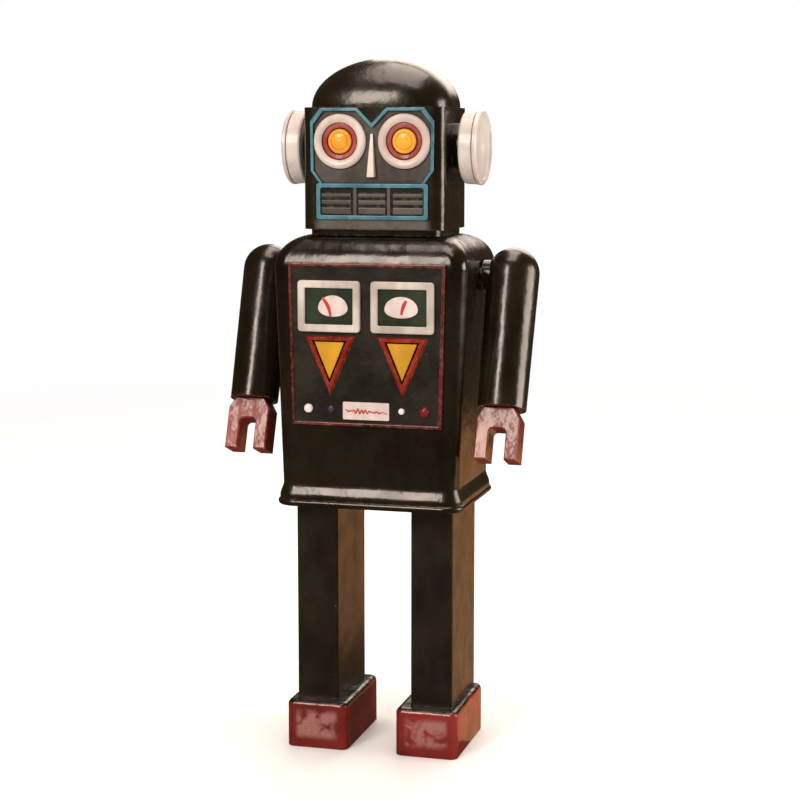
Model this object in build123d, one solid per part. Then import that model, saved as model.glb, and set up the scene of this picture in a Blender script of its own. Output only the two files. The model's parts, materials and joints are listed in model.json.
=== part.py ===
from build123d import *
import math
import os

# Battery-operated walking tin robot. Millimetres, +Z up, the robot faces -Y.
# The origin is on the floor, midway between the soles. The robot's own left is +X.

# ---- driving dimensions ---------------------------------------------------------------
sheet = 0.8                 # pressed steel wall
front_y = -30.8             # foremost detail: the gauge bezels

# torso
torso_half_d = 28.3
waist_half_w = 36.5
waist_z = 111.0
shoulder_half_w = 39.5
shoulder_z = 197.7
shoulder_r = 12.4
torso_top_z = shoulder_z + shoulder_r
torso_corner = 5.5
skirt_z = 102.9
skirt_cove_h = 5.4
skirt_flare = 1.5
lip_r = 1.5
seam_y = 20.0
seam_gap = 0.1
base_z = 106.5
base_thick = 1.0
base_half_w = 34.9
base_half_d = 26.9
base_corner = 3.6
base_flange_h = 3.0
leg_slot_margin = 0.7       # between a leg and its slot in the base plate, side to side
neck_hole_half_w = 18.0
neck_hole_half_d = 12.0
screw_x = 33.4
screw_z = (132.0, 190.0)
screw_block_x = 30.2
screw_block_half_h = 3.0
screw_r = 1.2
screw_head_r = 2.1
screw_head_h = 1.3
screw_cross_w = 3.2
screw_cross_gap = 0.5
screw_length = 9.0

# chest panel
panel_y = -torso_half_d
panel_thick = 0.7
panel_bottom_z = 136.6
panel_top_z = 198.4
panel_bottom_half_w = 29.4
panel_top_half_w = 30.8
frame_bead = 1.3
frame_proud = 1.4

# gauges, triangular lamps, label and studs on the panel
gauge_x = 15.0
gauge_z = 182.75
gauge_w = 25.6
gauge_h = 20.2
gauge_rim = 2.9
lamp_x = 14.9
lamp_top_z = 171.0
lamp_tip_z = 147.1
lamp_half_w = 10.4
stud_z = 141.9
button_x = 23.9
white_button_r = 1.8
red_button_r = 2.1
jewel_x = 14.5
button_travel = 1.0
label_w = 19.0
label_h = 7.0
label_z = 141.5
board_y = -22.7
board_thick = 1.2
board_half_w = 31.0
board_half_h = 5.4

# head
head_half_w = 28.9
head_half_d = 20.7
head_bottom_z = 212.5
head_top_z = 260.4
head_front_corner = 4.5
head_back_corner = 7.0
dome_height = 19.6
collar_half_w = 26.8
collar_half_d = 19.6
dome_base_power = 3.4
dome_points = 28
eye_x = 13.2
eye_z = 247.1
eye_ring_r = 10.7
eye_ring_w = 3.3
eye_lens_r = 4.9
bulb_rear_y = -8.5
mask_half_w = 25.3
mask_top_z = 260.1
mask_bottom_z = 230.4
notch_half_w = 6.0
nose_foot_w = 2.9
nose_foot_z = 233.2
nose_top_w = 0.9
nose_top_z = 250.0
notch_z = 254.0
mouth_half_w = 22.8
mouth_bottom_z = 216.5
mouth_top_z = 230.6
grille_post_x = 6.9
bead_w = 1.2
bead_proud = 0.5
ear_y = 1.0
ear_z = 244.7
ear_r = 14.9
ear_inner_x = 32.7
ear_outer_x = 40.1
ear_boss_r = 9.5

# arms, hanging from a pivot and leaning forward at rest
arm_x = 51.8
arm_pivot_y = 3.5
arm_pivot_z = 193.5
arm_lean = 20.5
arm_top_r = 10.5
arm_bottom_r = 9.7
arm_neck = 1.0
arm_wall = 1.0
arm_length = 54.6
shoulder_pin_r = 3.0
shoulder_washer_r = 6.0
shoulder_gap = 0.6          # between the torso's side wall and what turns beside it
wrist_half_w = 6.0
hand_half_w = 8.6
hand_depth = 10.5
hand_length = 21.1
palm_drop = 4.2
claw_gap = 6.8
claw_depth = 12.5

# legs and feet
leg_x = 24.1
leg_half_w = 8.7
leg_front_y = -18.8
leg_back_y = 20.0
leg_top_z = 124.0
hip_y = 0.6
hip_z = 118.0
hip_axle_r = 2.0
foot_x = 23.1
foot_half_w = 12.9
foot_front_y = -24.2
foot_back_y = 21.8
foot_h = 19.7
foot_corner = 3.0
foot_top_round = 2.2
foot_sole_round = 0.6
roller_r = 5.6
roller_w = 6.0
roller_y = 6.0
roller_z = 5.9

# drive train: motor, two compound gears and a crank gear, between two plates
module = 0.6
pinion_teeth = 10
wheel_teeth = 36
crank_teeth = 40
plate_x = 12.5
plate_thick = 1.0
plate_y = -6.0
plate_z = 145.75
plate_d = 27.6
plate_h = 76.5
crank_y = 0.6
crank_z = 140.0
crank_shaft_r = 1.5
crank_throw = 2.3
crank_pin_r = 1.0
crank_pin_room = 0.3        # the pin drives the legs at a changing ratio, so it has room in its slot
crank_disc_r = 4.2
crank_disc_x = 13.9
crank_disc_thick = 1.0
lever_w = 11.0
lever_low_z = 104.0
lever_high_z = 150.0
lever_slot_l = 15.0
lever_thick = 1.0
gear_pin_r = 1.0
second_bearing = 122.0
first_bearing = 116.0
motor_bearing = 37.0
motor_r = 10.0
motor_flat = 15.0
motor_length = 19.0

# battery box, door and switch at the back
cell_r = 7.2
cell_length = 49.5
cell_x = 7.9
contact_room = 2.1
cell_y = 17.0
cell_z = 152.7
tray_y = 7.8
tray_wall = 1.0
door_half_w = 19.4
door_bottom_z = 142.9
door_top_z = 197.2
door_hinge_y = 29.8
door_hinge_z = 142.4
door_barrel_r = 1.0
door_lap = 2.0
door_thick = 1.0
door_pin_r = 0.5
hinge_half_w = 17.0
switch_z = 124.0
switch_travel = 5.0
switch_slot_half_w = 6.0
switch_slot_half_h = 1.7
knob_half = 2.6

running = 0.06              # radial clearance of pins that turn or slide


# ---- small helpers --------------------------------------------------------------------
def plan(half_w, half_d, corner, z):
    """A rounded rectangle seen from above, at height z."""
    return Pos(0, 0, z) * RectangleRounded(2 * half_w, 2 * half_d, corner)


def facing_front(outline, rear_y, depth):
    """An outline drawn in X and Z, made solid from rear_y towards the front."""
    return Pos(0, rear_y, 0) * (Rot(90, 0, 0) * extrude(outline, amount=depth))


def along_x(outline, x0, x1):
    """An outline drawn in Y and Z, made solid from x0 to x1."""
    return Pos(x0, 0, 0) * (Plane.YZ * extrude(outline, amount=x1 - x0))


def rod(radius, x0, x1, y, z):
    return along_x(Pos(y, z) * Circle(radius), x0, x1)


def block(x0, x1, y0, y1, z0, z1):
    centre = Pos((x0 + x1) / 2, (y0 + y1) / 2, (z0 + z1) / 2)
    return centre * Box(x1 - x0, y1 - y0, z1 - z0)


def outline(points):
    """A closed polygon, put in anticlockwise order so that it always extrudes the same way."""
    turn = 0
    for (x0, y0), (x1, y1) in zip(points, points[1:] + points[:1]):
        turn += x0 * y1 - x1 * y0
    if turn < 0:
        points = points[::-1]
    return Polygon(*points, align=None)


def both_sides(shape):
    return shape + mirror(shape, Plane.YZ)


def polar(radius, degrees):
    return radius * math.cos(math.radians(degrees)), radius * math.sin(math.radians(degrees))


def turned_on_x(profile_points, x0, y, z):
    """A profile of (distance along +X, radius) points, turned about an axis along X."""
    profile = outline([(radius, along) for along, radius in profile_points])
    turned = revolve(Rot(90, 0, 0) * profile, axis=Axis.Z)
    return Pos(x0, y, z) * (Rot(0, 90, 0) * turned)


def save(name, shape):
    export_step(shape, "parts/" + name + ".step")


# ---- torso ----------------------------------------------------------------------------
def torso_form(inset, bottom_z):
    """The torso's outer form, brought in by inset: flared skirt, tapered box, soft top."""
    corner = torso_corner - inset
    depth = torso_half_d - inset
    waist = plan(waist_half_w - inset, depth, corner, waist_z)
    shoulder = plan(shoulder_half_w - inset, depth, corner, shoulder_z)
    sides = loft([waist, shoulder], ruled=True)
    top_sections = []
    for degrees in (0, 15, 30, 45, 60, 75, 90):
        across, up = polar(shoulder_r - inset, degrees)
        taken = shoulder_r - inset - across
        half_w = shoulder_half_w - inset - taken
        top_sections.append(plan(half_w, depth - taken, corner + 0.3 * taken, shoulder_z + up))
    top = loft(top_sections)
    return sides + top + skirt_form(inset, bottom_z)


def skirt_form(inset, bottom_z):
    """The skirt: it curves outwards like a bell, then drops straight to the rolled edge."""
    sections = []
    cove_z = waist_z - skirt_cove_h
    for step in range(9):
        t = step / 8
        out = skirt_flare * (3 * t * t - 2 * t * t * t) - inset
        z = waist_z - skirt_cove_h * t
        sections.append(plan(waist_half_w + out, torso_half_d + out, torso_corner + out, z))
    out = skirt_flare - inset
    foot = plan(waist_half_w + out, torso_half_d + out, torso_corner + out, bottom_z)
    return loft(sections) + extrude(foot, amount=cove_z - bottom_z)


def skirt_lip():
    """The rolled edge round the bottom of the skirt."""
    centre_out = skirt_flare - lip_r / 2
    path = plan(waist_half_w + centre_out, torso_half_d + centre_out, torso_corner + centre_out,
                skirt_z + 0.4).wire()
    section = Plane(origin=path @ 0, z_dir=path % 0) * Circle(lip_r)
    return sweep(section, path=path)


def shoulder_holes():
    return rod(shoulder_pin_r + running, -50, 50, arm_pivot_y, arm_pivot_z)


def button_holes():
    white = Pos(-button_x, stud_z) * Circle(white_button_r + running)
    red = Pos(button_x, stud_z) * Circle(red_button_r + running)
    return facing_front(white, -20, 20) + facing_front(red, -20, 20)


def screw_blocks(front_end, rear_end, inset):
    """A stretch of the tapped blocks on the side walls that the back cover's screws go into."""
    blocks = Part()
    for z in screw_z:
        blocks += block(screw_block_x, shoulder_half_w, front_end, rear_end,
                        z - screw_block_half_h, z + screw_block_half_h)
    return both_sides(blocks) & torso_form(inset, skirt_z)


def neck_hole(z):
    return plan(neck_hole_half_w, neck_hole_half_d, 4, z)


def screw_places():
    return [(x, z) for x in (-screw_x, screw_x) for z in screw_z]


def screw_shanks(radius):
    shanks = Part()
    for x, z in screw_places():
        shanks += facing_front(Pos(x, z) * Circle(radius), torso_half_d, 10)
    return shanks


def make_torso():
    hollow = torso_form(0, skirt_z) + skirt_lip()
    hollow -= torso_form(sheet, skirt_z - 0.01)
    lip_height = 3.0
    inner_skirt = plan(waist_half_w + skirt_flare - sheet, torso_half_d + skirt_flare - sheet,
                       torso_corner, skirt_z - lip_height)
    hollow -= extrude(inner_skirt, amount=lip_height + 0.02)
    front = hollow & block(-60, 60, -60, seam_y, 90, 230)
    front += screw_blocks(12, seam_y, sheet / 2)
    front += screw_blocks(seam_y - 1, torso_half_d - sheet - 0.1, sheet + 0.15)
    front -= shoulder_holes() + button_holes() + screw_shanks(screw_r)
    front -= extrude(neck_hole(torso_top_z - 3), amount=6)

    back = hollow & block(-60, 60, seam_y + seam_gap, 60, 90, 230)
    back -= block(-door_half_w + door_lap, door_half_w - door_lap, seam_y, 40,
                  door_bottom_z + 1.7, door_top_z - 0.8)
    back -= block(-switch_slot_half_w, switch_slot_half_w, seam_y, 40,
                  switch_z - switch_slot_half_h, switch_z + switch_slot_half_h)
    back -= screw_shanks(screw_r + 0.2)
    for x0, x1 in ((-hinge_half_w, -12.3), (-4.7, 4.7), (12.3, hinge_half_w)):
        knuckle = rod(door_barrel_r, x0, x1, door_hinge_y, door_hinge_z)
        knuckle += block(x0, x1, torso_half_d - 0.3, door_hinge_y, door_hinge_z - 1, door_hinge_z)
        back += knuckle
    back -= rod(door_pin_r, -hinge_half_w - 0.5, hinge_half_w + 0.5, door_hinge_y, door_hinge_z)
    return front, back


def make_base_plate():
    """The floor of the torso, turned up all round, with a slot that each leg swings in."""
    plate = extrude(plan(base_half_w, base_half_d, base_corner, base_z), amount=base_thick)
    slot_half_w = leg_half_w + leg_slot_margin
    swing_room = 2.4
    for side in (-1, 1):
        plate -= block(side * leg_x - slot_half_w, side * leg_x + slot_half_w, leg_front_y - swing_room,
                       leg_back_y + swing_room, base_z - 1, base_z + 3)
    top = base_z + base_thick
    flange = extrude(plan(base_half_w, base_half_d, base_corner, top), amount=base_flange_h)
    flange -= extrude(plan(base_half_w - 1, base_half_d - 1, base_corner - 1, top - 0.5),
                      amount=base_flange_h + 1)
    return plate + flange


def make_case_screws():
    screws = Part()
    for x, z in screw_places():
        spot = Pos(x, z)
        top = torso_half_d + screw_head_h
        head = facing_front(spot * Circle(screw_head_r), top, screw_head_h)
        head = fillet(head.edges().sort_by(Axis.Y)[-1], 0.6)
        cross = Rectangle(screw_cross_w, screw_cross_gap) + Rectangle(screw_cross_gap, screw_cross_w)
        head -= facing_front(spot * cross, top + 0.1, 0.6)
        screws += head + facing_front(spot * Circle(screw_r), torso_half_d, screw_length)
    return screws


# ---- chest panel ----------------------------------------------------------------------
def panel_outline(grow):
    """The panel is a little narrower at the bottom."""
    top = panel_top_half_w + grow
    bottom = panel_bottom_half_w + grow
    low = panel_bottom_z - grow
    high = panel_top_z + grow
    return outline([(-bottom, low), (bottom, low), (top, high), (-top, high)])


def make_chest_panel():
    return facing_front(panel_outline(0), panel_y, panel_thick) - button_holes()


def make_panel_frame():
    inner = panel_outline(0)
    bead = facing_front(panel_outline(frame_bead) - inner, panel_y, frame_proud)
    face = bead.faces().sort_by(Axis.Y)[0]
    return fillet(face.edges(), 0.45)


def gauge_outline(margin):
    return Pos(gauge_x, gauge_z) * RectangleRounded(
        gauge_w - 2 * margin, gauge_h - 2 * margin, max(0.6, 1.4 - margin / 2))


def make_gauge_bezel():
    seat = panel_y - panel_thick
    bezel = facing_front(gauge_outline(0) - gauge_outline(gauge_rim), seat, seat - front_y)
    face = bezel.faces().sort_by(Axis.Y)[0]
    return both_sides(chamfer(face.edges(), 0.4))


def make_gauge_dial():
    return both_sides(facing_front(gauge_outline(gauge_rim), panel_y - panel_thick, 0.5))


def make_gauge_needles():
    """Each needle leans away from upright, on a small hub below the dial's middle."""
    needles = Part()
    seat = panel_y - panel_thick - 0.5
    for side, lean in ((-1, 20), (1, -17)):
        hub = Pos(side * gauge_x + 0.6 * side, gauge_z - 4.0)
        blade = hub * Rot(0, 0, lean) * outline([(-0.55, 0), (0.55, 0), (0.3, 8.2), (-0.3, 8.2)])
        needles += facing_front(hub * Circle(1.0), seat, 0.7) + facing_front(blade, seat - 0.2, 0.35)
    return needles


def lamp_outline(shrink_w, top_drop, tip_rise):
    half = lamp_half_w - shrink_w
    top = lamp_top_z - top_drop
    return outline([(lamp_x - half, top), (lamp_x + half, top), (lamp_x, lamp_tip_z + tip_rise)])


def lamp_loft(low, high, rear_y, depth):
    back = Pos(0, rear_y, 0) * (Rot(90, 0, 0) * low)
    front = Pos(0, rear_y - depth, 0) * (Rot(90, 0, 0) * high)
    return loft([back, front], ruled=True)


def make_lamp_bezels():
    seat = panel_y - panel_thick
    outer = lamp_loft(lamp_outline(0, 0, 0), lamp_outline(1.2, 0.6, 1.9), seat, 1.3)
    well = lamp_loft(lamp_outline(3.9, 2.2, 6.0), lamp_outline(3.1, 1.7, 4.9), seat, 1.3)
    return both_sides(outer - well)


def make_lamp_lenses():
    seat = panel_y - panel_thick
    lens = lamp_loft(lamp_outline(3.9, 2.2, 6.0), lamp_outline(4.4, 2.4, 7.0), seat, 1.0)
    return both_sides(lens)


def make_label_plate():
    plate = Pos(0, label_z) * RectangleRounded(label_w, label_h, 0.5)
    return facing_front(plate, panel_y - panel_thick, 0.6)


def domed_stud(radius, rear_y, length, x):
    """A round stud with a domed front end."""
    stud = facing_front(Pos(x, stud_z) * Circle(radius), rear_y, length)
    return fillet(stud.edges().sort_by(Axis.Y)[0], radius * 0.85)


def make_panel_jewels():
    seat = panel_y - panel_thick
    return domed_stud(1.45, seat, 1.5, -jewel_x) + domed_stud(1.25, seat, 1.4, jewel_x)


def make_button(radius, x):
    """A push button: a domed plunger in a hole, kept in by a flange behind the wall."""
    flange_y = -torso_half_d + sheet
    plunger = domed_stud(radius, flange_y + 0.1, 3.4, x)
    flange = facing_front(Pos(x, stud_z) * Circle(radius + 0.9), flange_y + 0.9, 0.8)
    return plunger + flange


def make_control_board():
    """Circuit board behind the buttons, with a small switch under each one."""
    board = block(-board_half_w, board_half_w, board_y - board_thick, board_y,
                  stud_z - board_half_h, stud_z + board_half_h)
    front = board_y - board_thick
    key = 2.2
    for x in (-button_x, button_x):
        board += block(x - key, x + key, front - 1.3, front, stud_z - key, stud_z + key)
    for x in (-12, -4, 4, 12):
        board += block(x - 1.8, x + 1.8, board_y, board_y + 1.4, stud_z - 2.4, stud_z + 2.6)
    return board


# ---- head -----------------------------------------------------------------------------
def head_plan(inset):
    base = Rectangle(2 * (head_half_w - inset), 2 * (head_half_d - inset))
    front = base.vertices().sort_by(Axis.Y)[:2]
    base = fillet(front, max(head_front_corner - inset, 1.0))
    back = base.vertices().sort_by(Axis.Y)[-2:]
    return fillet(back, max(head_back_corner - inset, 1.0))


def mask_outline(shrink):
    """The mask round both eyes, with a notch between the brows."""
    half = mask_half_w - shrink
    top = mask_top_z - shrink
    low = mask_bottom_z
    slope = shrink * 0.45
    right = [(notch_half_w + slope, top), (half - 4.1, top), (half, top - 5.2),
             (half - 0.2, low + 5.2), (half - 4.0, low)]
    left = [(-x, z) for x, z in reversed(right)]
    return outline([(0, notch_z - shrink * 1.5)] + right + left)


def mouth_outline(shrink):
    width = 2 * (mouth_half_w - shrink)
    height = mouth_top_z - mouth_bottom_z - 2 * shrink
    middle = (mouth_top_z + mouth_bottom_z) / 2
    return Pos(0, middle) * RectangleRounded(width, height, 0.9)


def make_head_shell():
    height = head_top_z - head_bottom_z
    walls = extrude(head_plan(0) - head_plan(sheet), amount=height)
    shelf = extrude(head_plan(sheet / 2) - head_plan(4), amount=sheet)
    shell = Pos(0, 0, head_bottom_z) * (walls + shelf)
    shell += Pos(0, 0, head_top_z - sheet) * extrude(head_plan(sheet / 2) - head_plan(6), amount=sheet)
    window = facing_front(mask_outline(bead_w * 0.6) + mouth_outline(bead_w * 1.1), -15, 10)
    shell -= window
    boss = rod(ear_boss_r, head_half_w - sheet / 2, ear_inner_x, ear_y, ear_z)
    boss -= rod(2.0, 20, ear_inner_x + 1, ear_y, ear_z)
    return shell + both_sides(boss)


def dome_section(half_w, half_d, power, z):
    """A superellipse: square-shouldered for a high power, an ellipse at a power of two."""
    points = []
    for step in range(dome_points):
        turn = 2 * math.pi * (step + 0.5) / dome_points
        across, along = math.cos(turn), math.sin(turn)
        reach = (abs(across / half_w) ** power + abs(along / half_d) ** power) ** (-1 / power)
        points.append((reach * across, reach * along))
    return Pos(0, 0, z) * make_face(Spline(*points, periodic=True))


def dome_form(inset):
    """Rounded-square plan where it leaves the head box, closing to an ellipse at the crown."""
    sections = []
    for degrees in (0, 12, 24, 36, 48, 60, 70, 78, 85):
        share, rise = polar(1, degrees)
        power = dome_base_power - (dome_base_power - 2.2) * rise ** 2
        z = head_top_z + (dome_height - inset) * rise
        half_w = (head_half_w - inset) * share
        half_d = (head_half_d - inset) * share
        sections.append(dome_section(half_w, half_d, power, z))
    return loft(sections)


def make_head_dome():
    return dome_form(0.05) - dome_form(sheet)


def make_neck_collar():
    collar = extrude(plan(collar_half_w, collar_half_d, 5.5, torso_top_z),
                     amount=head_bottom_z - torso_top_z)
    return collar - extrude(neck_hole(torso_top_z - 1), amount=6)


def make_face_plate():
    """The recessed plate behind the mask and mouth windows."""
    plate = facing_front(outline([(-26, 214.8), (26, 214.8), (26, 259.4), (-26, 259.4)]),
                         -head_half_d + sheet + 1.0, 1.0)
    plate &= Pos(0, 0, head_bottom_z) * extrude(head_plan(sheet), amount=60)
    for side in (-1, 1):
        plate -= facing_front(Pos(side * eye_x, eye_z) * Circle(eye_ring_r - eye_ring_w + 0.1), -15, 10)
    return plate


def raised_bead(shape, rounding):
    face = shape.faces().sort_by(Axis.Y)[0]
    return fillet(face.edges(), rounding)


def make_mask_trim():
    ring = mask_outline(0) - mask_outline(bead_w) - mouth_outline(0)
    bead = facing_front(ring, -head_half_d, bead_proud)
    return raised_bead(bead, 0.25)


def make_mouth_frame():
    ring = mouth_outline(0) - mouth_outline(bead_w * 1.35)
    bead = facing_front(ring, -head_half_d, bead_proud + 0.15)
    return raised_bead(bead, 0.3)


def make_mouth_grille():
    """Two upright posts and three louvre bars, standing on the face plate."""
    seat = -head_half_d + sheet
    half_w = mouth_half_w - bead_w * 1.35
    low = mouth_bottom_z + bead_w * 1.35
    high = mouth_top_z - bead_w * 1.35
    grille = facing_front(outline([(-half_w, low), (half_w, low), (half_w, high), (-half_w, high)]),
                          seat, 0.2)
    for x in (-grille_post_x, grille_post_x):
        post = block(x - 0.7, x + 0.7, seat - 1.1, seat, low, high)
        grille += fillet(post.edges().filter_by(Axis.Z).sort_by(Axis.Y)[:2], 0.3)
    inner_end = grille_post_x - 1.4
    outer_start = grille_post_x + 1.8
    for x0, x1 in ((-half_w + 0.5, -outer_start), (-inner_end, inner_end), (outer_start, half_w - 0.5)):
        for z0, height in ((low + 0.3, 2.9), (low + 4.1, 2.0), (low + 7.0, 1.7)):
            bar = block(x0, x1, seat - 0.9, seat, z0, z0 + height)
            grille += fillet(bar.edges().filter_by(Axis.X).sort_by(Axis.Y)[:2], 0.55)
    return grille


def front_turned(points, x, z, rear_y):
    """A profile of (radius, distance towards the front) points, turned about an axis along Y."""
    profile = Rot(90, 0, 0) * outline(points)
    turned = revolve(profile, axis=Axis.Z)
    return Pos(x, rear_y, z) * (Rot(90, 0, 0) * turned)


def make_eye_rings():
    inner = eye_ring_r - eye_ring_w
    points = [(inner, 0), (eye_ring_r, 0), (eye_ring_r, 0.9), (eye_ring_r - 0.5, 1.7),
              (eye_ring_r - 1.4, 2.2), (inner + 0.9, 2.0), (inner, 1.2)]
    return both_sides(front_turned(points, eye_x, eye_z, -head_half_d + sheet))


def make_eye_irises():
    outer = eye_ring_r - eye_ring_w
    points = [(eye_lens_r, -1.2), (outer, -1.2), (outer, 0.6), (6.6, 0.9), (5.4, 0.5), (eye_lens_r, -0.2)]
    return both_sides(front_turned(points, eye_x, eye_z, -head_half_d + sheet))


def make_eye_lenses():
    points = [(0, -1.2), (eye_lens_r, -1.2), (eye_lens_r, 0.4), (4.6, 1.0), (3.7, 1.4), (3.3, 1.15),
              (2.9, 1.5),
              (1.6, 1.8), (0, 1.9)]
    return both_sides(front_turned(points, eye_x, eye_z, -head_half_d + sheet))


def make_nose():
    """A wedge that widens and stands further out towards its foot."""
    seat = -head_half_d + sheet
    foot_depth = 3.2
    top_depth = 1.0
    foot = Pos(0, seat - foot_depth / 2, nose_foot_z) * Rectangle(nose_foot_w, foot_depth)
    top = Pos(0, seat - top_depth / 2, nose_top_z) * Rectangle(nose_top_w, top_depth)
    return loft([foot, top], ruled=True)


def make_ear_drums():
    width = ear_outer_x - ear_inner_x
    points = [(0, 0), (0, ear_r - 1.0), (0.6, ear_r - 0.5), (width - 2.2, ear_r - 0.2),
              (width - 1.9, ear_r - 0.6), (width - 1.6, ear_r), (width - 0.5, ear_r),
              (width, ear_r - 0.6), (width, ear_r - 2.2), (width - 0.6, ear_r - 2.6),
              (width - 0.5, 2.0), (width - 1.4, 1.0), (width - 1.4, 0)]
    return both_sides(turned_on_x(points, ear_inner_x, ear_y, ear_z))


def make_bulbs():
    """Small filament bulbs behind the eye lenses: a glass envelope on a threaded cap."""
    points = [(0, 0), (2.4, 0), (2.4, 4.5), (2.9, 6.0), (2.9, 7.6), (1.8, 9.2), (0, 9.8)]
    return both_sides(front_turned(points, eye_x, eye_z, bulb_rear_y))


def make_bulb_bracket():
    front = bulb_rear_y - 0.9
    bracket = block(-20, 20, front, bulb_rear_y, eye_z - 5, eye_z + 5)
    for side in (-1, 1):
        bracket -= facing_front(Pos(side * eye_x, eye_z) * Circle(2.5), -5, 8)
    floor_z = head_bottom_z + sheet
    stem = block(-4, 4, front, bulb_rear_y, floor_z, eye_z - 5)
    foot = block(-4, 4, -17.2, bulb_rear_y, floor_z, floor_z + 0.9)
    return bracket + stem + foot


# ---- arms and hands -------------------------------------------------------------------
def lean_arm(shape, side):
    """From the arm's own frame, hanging straight down from the pivot, to its place."""
    return Pos(side * arm_x, arm_pivot_y, arm_pivot_z) * (Rot(-arm_lean, 0, 0) * shape)


def arm_form(inset):
    """A slightly tapered tube with a round top."""
    top_r = arm_top_r - inset
    tube = Pos(0, 0, -arm_length / 2) * Cone(arm_bottom_r - inset, top_r, arm_length)
    neck = Pos(0, 0, arm_neck / 2) * Cylinder(top_r, arm_neck)
    return tube + neck + Pos(0, 0, arm_neck) * Sphere(top_r)


def make_arm(side):
    shell = arm_form(0) - arm_form(arm_wall)
    wall = shoulder_half_w - arm_x
    boss = rod(shoulder_washer_r + 0.4, wall + shoulder_gap, wall + 4.0, 0, 0) - arm_form(arm_wall)
    socket = rod(shoulder_pin_r, wall - 1, wall + 9, 0, 0)
    arm = shell + boss - socket
    if side < 0:
        arm = mirror(arm, Plane.YZ)
    return lean_arm(arm, side)


def make_shoulder_pin(side):
    """Runs through the torso's side wall; a washer head behind the wall keeps it in."""
    inner_face = shoulder_half_w - sheet - arm_x
    head_x = inner_face - shoulder_gap - 1.4
    pin = rod(shoulder_pin_r, head_x, inner_face + 8, 0, 0)
    pin += rod(shoulder_washer_r, head_x, inner_face - shoulder_gap, 0, 0)
    if side < 0:
        pin = mirror(pin, Plane.YZ)
    return lean_arm(pin, side)


def make_hand(side):
    """A U-shaped claw with a round stub that plugs into the arm."""
    wrist = wrist_half_w
    top = -arm_length
    palm = top - palm_drop
    end = top - hand_length
    slot_top = end + claw_depth
    claw = outline([(-wrist, top), (wrist, top), (hand_half_w, palm), (hand_half_w, end),
                    (-hand_half_w, end), (-hand_half_w, palm)])
    slot = Pos(0, (slot_top + end - 4) / 2) * RectangleRounded(claw_gap, slot_top - end + 4, 1.8)
    hand = facing_front(claw - slot, hand_depth / 2, hand_depth)
    hand = fillet(hand.edges().filter_by(Axis.Y).sort_by(Axis.Z)[-4:], 0.9)
    front_face = hand.faces().sort_by(Axis.Y)[0]
    hand = chamfer(front_face.edges(), 0.5)
    stub = Pos(0, 0, top) * extrude(Circle(arm_bottom_r - 1.2), amount=7)
    return lean_arm(hand + stub, side)


# ---- legs and feet --------------------------------------------------------------------
def make_leg(side):
    x = side * leg_x
    mid_y = (leg_front_y + leg_back_y) / 2
    depth = leg_back_y - leg_front_y
    outer = RectangleRounded(2 * leg_half_w, depth, 1.0)
    inner = RectangleRounded(2 * (leg_half_w - sheet), depth - 2 * sheet, 0.3)
    leg = Pos(x, mid_y, foot_h) * extrude(outer - inner, amount=leg_top_z - foot_h)
    leg -= rod(hip_axle_r + running, x - 12, x + 12, hip_y, hip_z)
    return leg


def make_lever(side):
    """A slotted arm inside the leg's inner wall; the crank pin works in its slot."""
    length = lever_high_z - lever_low_z
    arm = Pos(hip_y, lever_low_z + length / 2) * RectangleRounded(lever_w, length, 3)
    arm -= Pos(hip_y, crank_z) * SlotOverall(lever_slot_l, 2 * (crank_pin_r + crank_pin_room), rotation=90)
    arm -= Pos(hip_y, hip_z) * Circle(hip_axle_r + running)
    inner_wall = leg_x - leg_half_w + sheet
    lever = along_x(arm, inner_wall, inner_wall + lever_thick)
    if side < 0:
        lever = mirror(lever, Plane.YZ)
    return lever


def make_foot(side):
    x = side * foot_x
    mid_y = (foot_front_y + foot_back_y) / 2
    base = Pos(x, mid_y) * RectangleRounded(2 * foot_half_w, foot_back_y - foot_front_y, foot_corner)
    foot = extrude(base, amount=foot_h)
    foot = fillet(foot.faces().sort_by(Axis.Z)[-1].edges(), foot_top_round)
    foot = fillet(foot.faces().sort_by(Axis.Z)[0].edges(), foot_sole_round)
    well = block(x - roller_w / 2 - 0.5, x + roller_w / 2 + 0.5, roller_y - 7, roller_y + 7, -1, 13)
    foot -= well
    foot -= rod(1.0 + running, x - 7.2, x + 7.2, roller_y, roller_z)
    return foot


def make_roller(side):
    x = side * foot_x
    tread = rod(roller_r, x - roller_w / 2, x + roller_w / 2, roller_y, roller_z)
    for degrees in range(0, 360, 15):
        across, up = polar(roller_r, degrees)
        tread -= rod(0.3, x - roller_w, x + roller_w, roller_y + across, roller_z + up)
    journals = rod(1.0, x - 6.8, x + 6.8, roller_y, roller_z)
    return tread + journals


# ---- drive train ----------------------------------------------------------------------
def pitch_radius(teeth):
    return module * teeth / 2


def gear_outline(teeth, phase):
    """Stub involute teeth, a little thin for running clearance; phase is one tooth's angle."""
    pitch = pitch_radius(teeth)
    base = pitch * math.cos(math.radians(20))
    tip = pitch + 0.65 * module
    root = pitch - 0.95 * module
    lead = math.tan(math.radians(20)) - math.radians(20)
    half_tooth = 0.84 * math.pi / (2 * teeth)
    flank = []
    for step in range(5):
        radius = max(base, root) + (tip - max(base, root)) * step / 4
        pressure = math.acos(min(1.0, base / radius))
        flank.append((radius, half_tooth + lead - (math.tan(pressure) - pressure)))
    if root < base:
        flank.insert(0, (root, flank[0][1]))
    points = []
    for tooth in range(teeth):
        centre = math.radians(phase) + 2 * math.pi * tooth / teeth
        for radius, half in flank:
            points.append((radius * math.cos(centre - half), radius * math.sin(centre - half)))
        for radius, half in reversed(flank):
            points.append((radius * math.cos(centre + half), radius * math.sin(centre + half)))
    return outline(points)


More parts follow.
